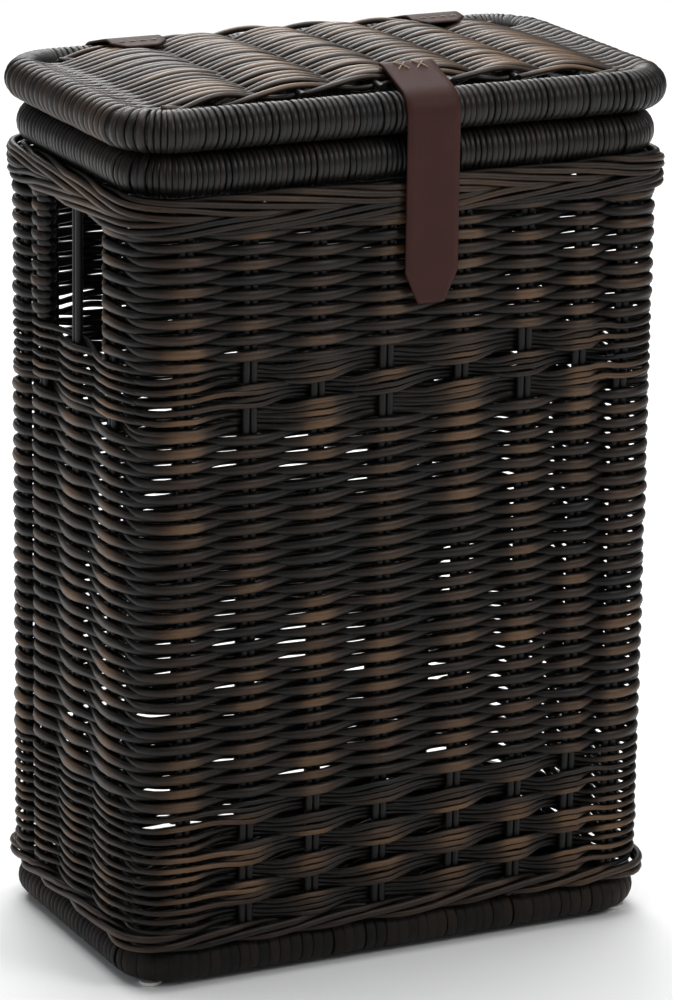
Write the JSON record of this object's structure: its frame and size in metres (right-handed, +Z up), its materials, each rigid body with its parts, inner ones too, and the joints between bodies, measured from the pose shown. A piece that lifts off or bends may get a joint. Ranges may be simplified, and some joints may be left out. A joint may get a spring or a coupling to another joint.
{
  "type": "lidded wicker basket",
  "caption": "Tall rectangular wicker basket with wrapped pole rims, woven walls, side hand openings, a leather-hinged domed lid and a leather pull strap.",
  "frame": {"origin": "on the floor, under the middle of the basket", "axes": "+Z up, +X to the right seen from the front, -Y towards the front, where the pull strap hangs"},
  "size_m": [0.427, 0.2584, 0.6352],
  "materials": {
    "pole": "dark stained rattan pole, satin",
    "cane": "dark stained flat cane, satin lacquer",
    "reed": "near-black stain rubbed back to brown on the crests, satin lacquer",
    "stake": "dark stained round rattan, satin lacquer",
    "hinge_leather": "dark brown leather, matte",
    "strap_leather": "dark reddish brown leather, matte with fine grain",
    "thread": "waxed tan thread",
    "glide": "translucent off-white plastic"
  },
  "bodies": {
    "basket": {"base_hoop": "pole", "base_wrap": "cane", "base_ribs": "stake", "base_panel": "reed", "glides": "glide", "stakes_front": "stake", "stakes_back": "stake", "stakes_left": "stake", "stakes_right": "stake", "bottom_border": "reed", "lower_wale": "reed", "lower_randing": "reed", "middle_wale": "reed", "upper_randing_front": "reed", "upper_randing_back": "reed", "top_wale": "reed", "rim_hoop": "pole", "rim_wrap": "cane", "hinge_leaf_body_left": "hinge_leather", "hinge_leaf_body_right": "hinge_leather", "hinge_stitches_body": "thread"},
    "lid": {"lid_hoop": "pole", "lid_front_wrap": "cane", "lid_back_wrap": "cane", "lid_side_wrap_left": "reed", "lid_side_wrap_right": "reed", "lid_ribs": "stake", "lid_panel": "reed", "lid_front_lacing": "reed", "lid_back_lacing": "reed", "hinge_leaf_lid_left": "hinge_leather", "hinge_leaf_lid_right": "hinge_leather", "hinge_stitches_lid": "thread", "strap_root": "strap_leather", "strap_stitches": "thread"},
    "strap_flap": {"strap_flap": "strap_leather"}
  },
  "joints": [
    {"name": "lid_hinge", "type": "hinge", "parent": "basket", "child": "lid", "pos_m": [0, 0.1273, 0.5923], "axis": [-1, 0, 0], "range_deg": [0, 110]},
    {"name": "strap_bend", "type": "hinge", "parent": "lid", "child": "strap_flap", "pos_m": [0.012, -0.1278, 0.6033], "axis": [-1, 0, 0], "range_deg": [0, 120]}
  ]
}
